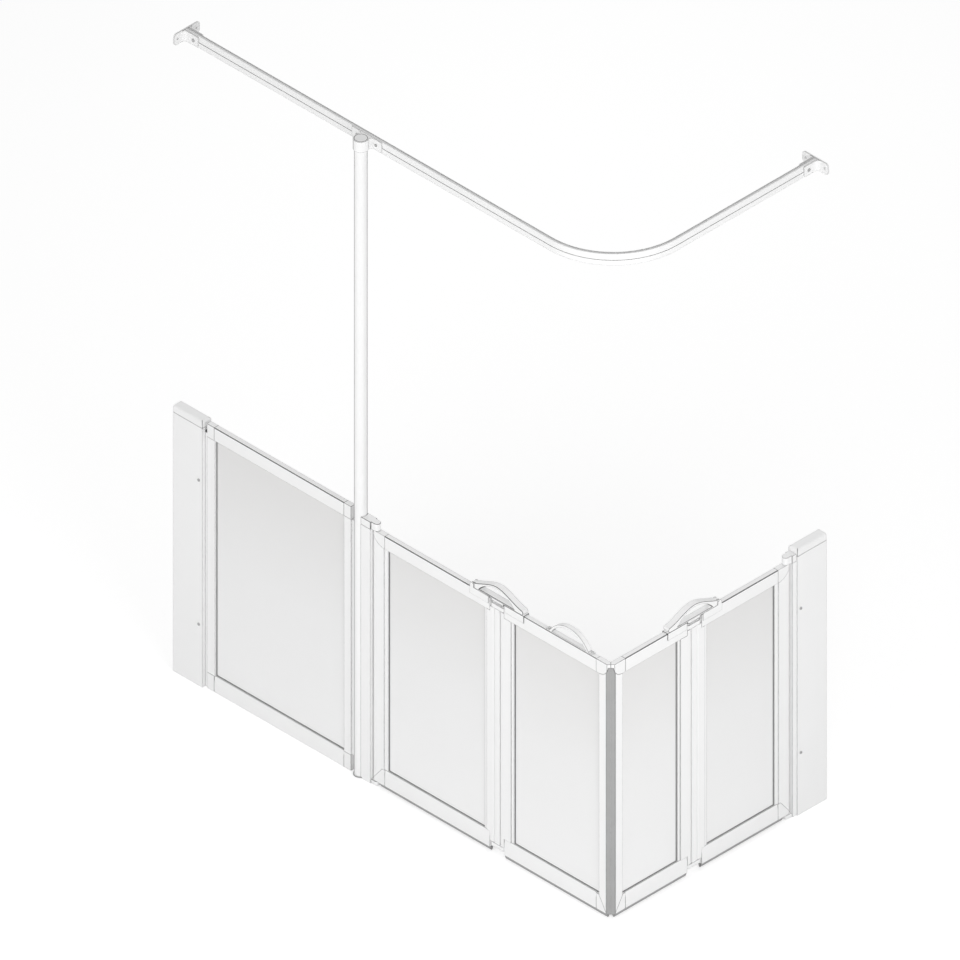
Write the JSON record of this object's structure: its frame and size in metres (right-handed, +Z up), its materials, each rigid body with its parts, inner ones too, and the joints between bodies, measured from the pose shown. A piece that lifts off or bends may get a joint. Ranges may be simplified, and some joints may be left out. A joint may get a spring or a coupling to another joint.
{
  "type": "half height shower screen",
  "caption": "L-shaped half height shower screen with a fixed panel, folding leaves with arched handles, and a pole that carries a bent curtain rail.",
  "frame": {"origin": "middle of the footprint of the whole assembly, on the floor", "axes": "+Z up, +X from the left wall along the fixed panel to the outer corner, +Y from there along the right run to the right wall"},
  "size_m": [1.7318, 0.8536, 2.167],
  "materials": {
    "white_frame": "white powder coat on aluminium sections, satin",
    "white_plastic": "white moulded plastic, lightly glossy",
    "glazing": "pale grey translucent sheet, smooth",
    "grey_seal": "mid grey flexible seal, matt",
    "steel": "stainless screws and pins",
    "channel_metal": "mill finish aluminium channel, hidden in the wall posts"
  },
  "bodies": {
    "root": {"curtain_rail": "white_frame", "door_pins": "steel", "hinge_bearings_left": "white_plastic", "hinge_bearings_right": "white_plastic", "hinge_post_left": "white_frame", "hinge_post_right": "white_frame", "panel_corner_blocks": "white_plastic", "panel_pane": "glazing", "panel_rails": "white_frame", "panel_stiles": "white_frame", "pole": "white_frame", "pole_cap": "white_plastic", "pole_clamp": "white_frame", "pole_foot": "white_plastic", "post_screws": "steel", "rail_bracket_left": "white_frame", "rail_bracket_right": "white_frame", "rail_screws": "steel", "wall_cap_left": "white_plastic", "wall_cap_right": "white_plastic", "wall_channel_left": "channel_metal", "wall_channel_right": "channel_metal", "wall_post_left": "white_frame", "wall_post_right": "white_frame"},
    "leaf_a": {"handle_foot_left": "white_plastic", "leaf_a_bottom_rail": "white_frame", "leaf_a_corner_blocks": "white_plastic", "leaf_a_pane": "glazing", "leaf_a_stiles": "white_frame", "leaf_a_top_rail": "white_frame", "leaf_a_wiper_seal": "grey_seal"},
    "handle_left": {"long_handle_left": "white_plastic"},
    "spine_left": {"fold_links_left": "white_plastic", "spine_left": "white_frame"},
    "leaf_b": {"handle_keeper_left": "white_plastic", "leaf_b_bottom_rail": "white_frame", "leaf_b_corner_blocks": "white_plastic", "leaf_b_pane": "glazing", "leaf_b_seals": "grey_seal", "leaf_b_stiles": "white_frame", "leaf_b_top_rail": "white_frame", "short_handle": "white_plastic", "short_handle_screws": "steel"},
    "leaf_d": {"handle_foot_right": "white_plastic", "leaf_d_bottom_rail": "white_frame", "leaf_d_corner_blocks": "white_plastic", "leaf_d_pane": "glazing", "leaf_d_stiles": "white_frame", "leaf_d_top_rail": "white_frame", "leaf_d_wiper_seal": "grey_seal"},
    "handle_right": {"long_handle_right": "white_plastic"},
    "spine_right": {"fold_links_right": "white_plastic", "spine_right": "white_frame"},
    "leaf_c": {"handle_keeper_right": "white_plastic", "leaf_c_bottom_rail": "white_frame", "leaf_c_corner_blocks": "white_plastic", "leaf_c_pane": "glazing", "leaf_c_seals": "grey_seal", "leaf_c_stiles": "white_frame", "leaf_c_top_rail": "white_frame"}
  },
  "joints": [
    {"name": "left_swing", "type": "hinge", "parent": "root", "child": "leaf_a", "pos_m": [-0.08095, -0.40425, 0.4395], "axis": [0, 0, -1], "range_deg": [0, 90]},
    {"name": "left_link", "type": "hinge", "parent": "leaf_a", "child": "spine_left", "pos_m": [0.38105, -0.40425, 0.437], "axis": [0, 0, -1], "range_deg": [0, 90]},
    {"name": "left_fold", "type": "hinge", "parent": "spine_left", "child": "leaf_b", "pos_m": [0.41805, -0.40425, 0.437], "axis": [0, 0, -1], "range_deg": [0, 90]},
    {"name": "left_handle", "type": "hinge", "parent": "leaf_a", "child": "handle_left", "pos_m": [0.30255, -0.40425, 0.8748], "axis": [0, -1, 0], "range_deg": [0, 95]},
    {"name": "right_swing", "type": "hinge", "parent": "root", "child": "leaf_d", "pos_m": [0.83845, 0.28375, 0.4395], "axis": [0, 0, 1], "range_deg": [0, 90]},
    {"name": "right_link", "type": "hinge", "parent": "leaf_d", "child": "spine_right", "pos_m": [0.83845, -0.06525, 0.437], "axis": [0, 0, 1], "range_deg": [0, 90]},
    {"name": "right_fold", "type": "hinge", "parent": "spine_right", "child": "leaf_c", "pos_m": [0.83845, -0.10225, 0.437], "axis": [0, 0, 1], "range_deg": [0, 90]},
    {"name": "right_handle", "type": "hinge", "parent": "leaf_d", "child": "handle_right", "pos_m": [0.83845, 0.01325, 0.8748], "axis": [-1, 0, 0], "range_deg": [0, 95]}
  ]
}
